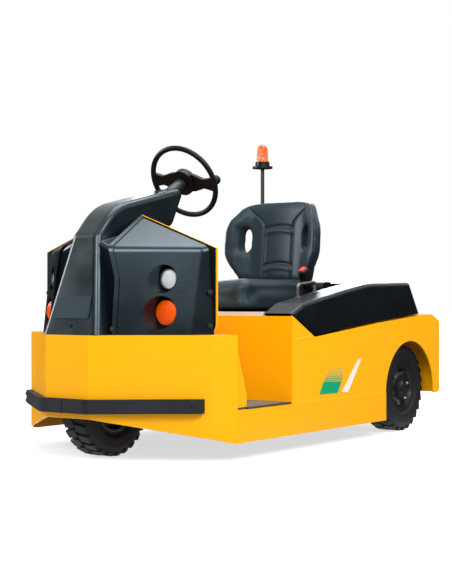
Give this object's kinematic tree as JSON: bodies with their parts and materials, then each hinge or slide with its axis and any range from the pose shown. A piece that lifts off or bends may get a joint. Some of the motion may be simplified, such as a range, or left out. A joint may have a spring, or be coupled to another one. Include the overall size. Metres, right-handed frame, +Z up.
{
  "type": "electric tow tractor",
  "caption": "Three-wheel ride-on electric tow tractor with a folded steel body, moulded cowl and hood, driver's seat, steered front wheel and rear tow clevis.",
  "frame": {"origin": "on the floor, under the middle of the outline", "axes": "+Z up, -Y towards the nose, +X towards the driver's left"},
  "size_m": [1.04, 2.113, 1.377],
  "materials": {
    "body_yellow": "semi-gloss enamel",
    "cowl_black": "gloss moulded",
    "hood_black": "fine moulded grain",
    "bumper_rubber": "matt",
    "tyre_rubber": "matt",
    "rim_black": "satin",
    "frame_black": "satin",
    "bright_steel": "zinc plated",
    "strip_aluminium": "extruded",
    "floor_dark": "checkered",
    "battery_case": "plain",
    "axle_iron": "painted",
    "seat_vinyl": "grained vinyl",
    "lens_clear": "clear",
    "lens_amber": "clear amber",
    "lens_red": "clear red",
    "wheel_black": "satin",
    "plate_dark": "satin"
  },
  "bodies": {
    "chassis": {"front_skirt": "body_yellow", "front_deck": "body_yellow", "kingpin_boss": "frame_black", "toe_board": "floor_dark", "floor_plate": "floor_dark", "sill_left": "body_yellow", "sill_right": "body_yellow", "side_panel_left": "body_yellow", "side_panel_right": "body_yellow", "seat_box_front": "body_yellow", "seat_box_strip": "strip_aluminium", "rear_shell": "body_yellow", "frame_rail_left": "frame_black", "frame_rail_right": "frame_black", "battery": "battery_case", "rear_axle": "axle_iron", "tow_hitch": "frame_black", "bumper_left": "bumper_rubber", "bumper_right": "bumper_rubber", "cowl_left": "cowl_black", "cowl_right": "cowl_black", "headlamps": "lens_clear", "indicators": "lens_amber", "dash_bulkhead": "body_yellow", "column_fairing": "cowl_black", "front_plate": "plate_dark", "steering_column": "frame_black", "pedals": "bumper_rubber", "hood_hinges": "bright_steel", "beacon_pole": "frame_black", "beacon_base": "hood_black", "beacon_dome": "lens_amber", "rear_lamps": "lens_red"},
    "steer": {"steer_fork": "frame_black"},
    "front_wheel": {"front_rim": "rim_black", "front_tyre": "tyre_rubber"},
    "rear_wheel_left": {"rear_rim_left": "rim_black", "rear_tyre_left": "tyre_rubber"},
    "rear_wheel_right": {"rear_rim_right": "rim_black", "rear_tyre_right": "tyre_rubber"},
    "hood": {"hood": "hood_black", "seat_frame": "frame_black", "seat_cushion": "seat_vinyl", "seat_back": "seat_vinyl", "belt_buckle": "hood_black", "belt_reel": "hood_black", "grab_rod": "bright_steel"},
    "steering_wheel": {"steering_wheel": "wheel_black", "spinner_knob": "wheel_black"}
  },
  "joints": [
    {"name": "steering", "type": "hinge", "parent": "chassis", "child": "steer", "pos_m": [0, -0.8115, 0.4], "axis": [0, 0, 1], "range_deg": [-75, 75]},
    {"name": "front_wheel_roll", "type": "hinge", "parent": "steer", "child": "front_wheel", "pos_m": [0, -0.8115, 0.1935], "axis": [1, 0, 0], "continuous": true},
    {"name": "rear_wheel_left_roll", "type": "hinge", "parent": "chassis", "child": "rear_wheel_left", "pos_m": [0.4275, 0.6765, 0.1935], "axis": [1, 0, 0], "continuous": true},
    {"name": "rear_wheel_right_roll", "type": "hinge", "parent": "chassis", "child": "rear_wheel_right", "pos_m": [-0.4275, 0.6765, 0.1935], "axis": [1, 0, 0], "continuous": true},
    {"name": "hood_swing", "type": "hinge", "parent": "chassis", "child": "hood", "pos_m": [0, 0.7785, 0.54], "axis": [-1, 0, 0], "range_deg": [0, 55]},
    {"name": "steering_wheel_turn", "type": "hinge", "parent": "chassis", "child": "steering_wheel", "pos_m": [0, -0.3235, 1.081], "axis": [0, 0.867, 0.4983], "range_deg": [-300, 300]}
  ],
  "couplings": [
    {"joint": "steering_wheel_turn", "follows": "steering", "ratio": 4}
  ]
}
